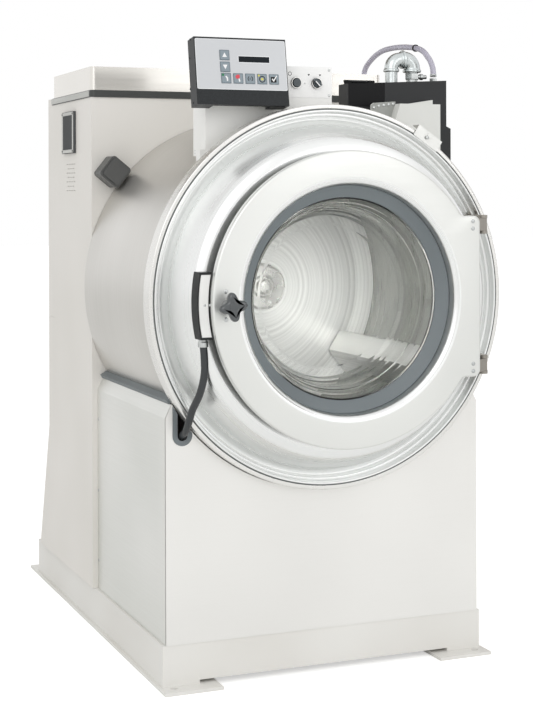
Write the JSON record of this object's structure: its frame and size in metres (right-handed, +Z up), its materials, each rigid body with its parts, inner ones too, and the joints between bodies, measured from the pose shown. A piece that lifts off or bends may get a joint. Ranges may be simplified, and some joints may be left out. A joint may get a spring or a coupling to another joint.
{
  "type": "washer-extractor",
  "caption": "Rigid-mount commercial washer-extractor with a round stainless front, swing door with glass bowl, control box and supply injector on top, and a rear drive cabinet.",
  "frame": {"origin": "on the floor under the middle of the whole closed machine: halfway between its sides, and halfway between the front of the knob and the rear end of the foot rails", "axes": "+X to the right as seen from the front, +Y to the back, +Z up; the door faces -Y"},
  "size_m": [0.9443, 1.497, 1.5975],
  "materials": {
    "painted_frame": "satin",
    "stainless_shell": "brushed",
    "polished_head": "polished",
    "brushed_panel": "brushed",
    "painted_cabinet": "satin",
    "black_rubber": "matte",
    "grey_rubber": "matte",
    "dark_trim": "textured",
    "black_plastic": "textured",
    "white_plastic": "satin",
    "overlay": "satin",
    "keys": "satin",
    "display": "gloss",
    "galvanised": "galvanised",
    "clear_hose": "translucent",
    "valve_brass": "satin",
    "window_glass": "clear"
  },
  "bodies": {
    "machine": {"base_frame": "painted_frame", "outer_shell": "stainless_shell", "front_head": "polished_head", "clamp_ring": "polished_head", "ring_seal": "black_rubber", "ring_bracket": "brushed_panel", "front_panel": "brushed_panel", "side_panel_left": "brushed_panel", "side_panel_right": "brushed_panel", "side_gaskets": "grey_rubber", "conduit_grommet": "grey_rubber", "cabinet": "painted_cabinet", "upper_rear_cover": "painted_cabinet", "lower_rear_cover": "painted_cabinet", "cabinet_cap": "painted_cabinet", "cap_trim": "dark_trim", "fan_filter": "dark_trim", "vibration_switch": "black_plastic", "control_column": "brushed_panel", "switch_plate": "brushed_panel", "control_box": "black_plastic", "keypad_overlay": "overlay", "display_window": "display", "switch_bezels": "black_plastic", "injector_box": "black_plastic", "injector_chute": "brushed_panel", "vacuum_breaker": "galvanised", "breather_hose": "clear_hose", "lock_plate": "white_plastic", "drain_valve": "black_plastic", "inlet_valves": "valve_brass", "cable_gland": "black_plastic", "drive_motor": "painted_frame", "drive_belts": "black_rubber", "bearing_housing": "painted_frame", "shaft_bearings": "stainless_shell", "lock_housing": "black_plastic", "lock_conduit": "black_plastic", "hinge_bracket": "brushed_panel"},
    "door": {"door_panel": "brushed_panel", "door_gasket": "grey_rubber", "door_glass": "window_glass", "hinge_arms": "brushed_panel"},
    "knob": {"star_knob": "black_plastic", "latch_cam": "stainless_shell"},
    "basket": {"drum": "stainless_shell", "lifters": "stainless_shell", "drum_shaft": "stainless_shell", "driven_pulley": "stainless_shell"},
    "rotor": {"motor_pulley": "stainless_shell"},
    "button": {"push_button": "black_plastic"},
    "selector": {"selector_switch": "black_plastic"},
    "lid": {"injector_lid": "black_plastic"},
    "key_up_cap": {"key_up": "keys"},
    "key_down_cap": {"key_down": "keys"},
    "key_start_cap": {"key_start": "keys"},
    "key_stop_cap": {"key_stop": "keys"},
    "key_signal_cap": {"key_signal": "keys"},
    "key_manual_cap": {"key_manual": "keys"},
    "key_enter_cap": {"key_enter": "keys"}
  },
  "joints": [
    {"name": "door_swing", "type": "hinge", "parent": "machine", "child": "door", "pos_m": [0.384, -0.6395, 0.923], "axis": [0, 0, 1], "range_deg": [0, 150]},
    {"name": "knob_turn", "type": "hinge", "parent": "door", "child": "knob", "pos_m": [-0.322, -0.7015, 0.918], "axis": [0, 1, 0], "range_deg": [0, 90]},
    {"name": "drum_spin", "type": "hinge", "parent": "machine", "child": "basket", "pos_m": [0, 0.1585, 0.923], "axis": [0, 1, 0], "continuous": true},
    {"name": "motor_spin", "type": "hinge", "parent": "machine", "child": "rotor", "pos_m": [0.15, 0.3185, 0.295], "axis": [0, 1, 0], "continuous": true},
    {"name": "button_press", "type": "slide", "parent": "machine", "child": "button", "axis": [0, 1, 0], "range_m": [0, 0.004], "stiffness_N_per_m": 600},
    {"name": "selector_turn", "type": "hinge", "parent": "machine", "child": "selector", "pos_m": [-0.004, -0.4915, 1.451], "axis": [0, 1, 0], "range_deg": [0, 90]},
    {"name": "lid_lift", "type": "hinge", "parent": "machine", "child": "lid", "pos_m": [0.204, -0.3055, 1.474], "axis": [-1, 0, 0], "range_deg": [0, 100]},
    {"name": "key_up_press", "type": "slide", "parent": "machine", "child": "key_up_cap", "axis": [0, 0.9869, -0.1616], "range_m": [0, 0.0005], "stiffness_N_per_m": 3000},
    {"name": "key_down_press", "type": "slide", "parent": "machine", "child": "key_down_cap", "axis": [0, 0.9869, -0.1616], "range_m": [0, 0.0005], "stiffness_N_per_m": 3000},
    {"name": "key_start_press", "type": "slide", "parent": "machine", "child": "key_start_cap", "axis": [0, 0.9869, -0.1616], "range_m": [0, 0.0005], "stiffness_N_per_m": 3000},
    {"name": "key_stop_press", "type": "slide", "parent": "machine", "child": "key_stop_cap", "axis": [0, 0.9869, -0.1616], "range_m": [0, 0.0005], "stiffness_N_per_m": 3000},
    {"name": "key_signal_press", "type": "slide", "parent": "machine", "child": "key_signal_cap", "axis": [0, 0.9869, -0.1616], "range_m": [0, 0.0005], "stiffness_N_per_m": 3000},
    {"name": "key_manual_press", "type": "slide", "parent": "machine", "child": "key_manual_cap", "axis": [0, 0.9869, -0.1616], "range_m": [0, 0.0005], "stiffness_N_per_m": 3000},
    {"name": "key_enter_press", "type": "slide", "parent": "machine", "child": "key_enter_cap", "axis": [0, 0.9869, -0.1616], "range_m": [0, 0.0005], "stiffness_N_per_m": 3000}
  ],
  "couplings": [
    {"joint": "motor_spin", "follows": "drum_spin", "ratio": 4.36}
  ]
}
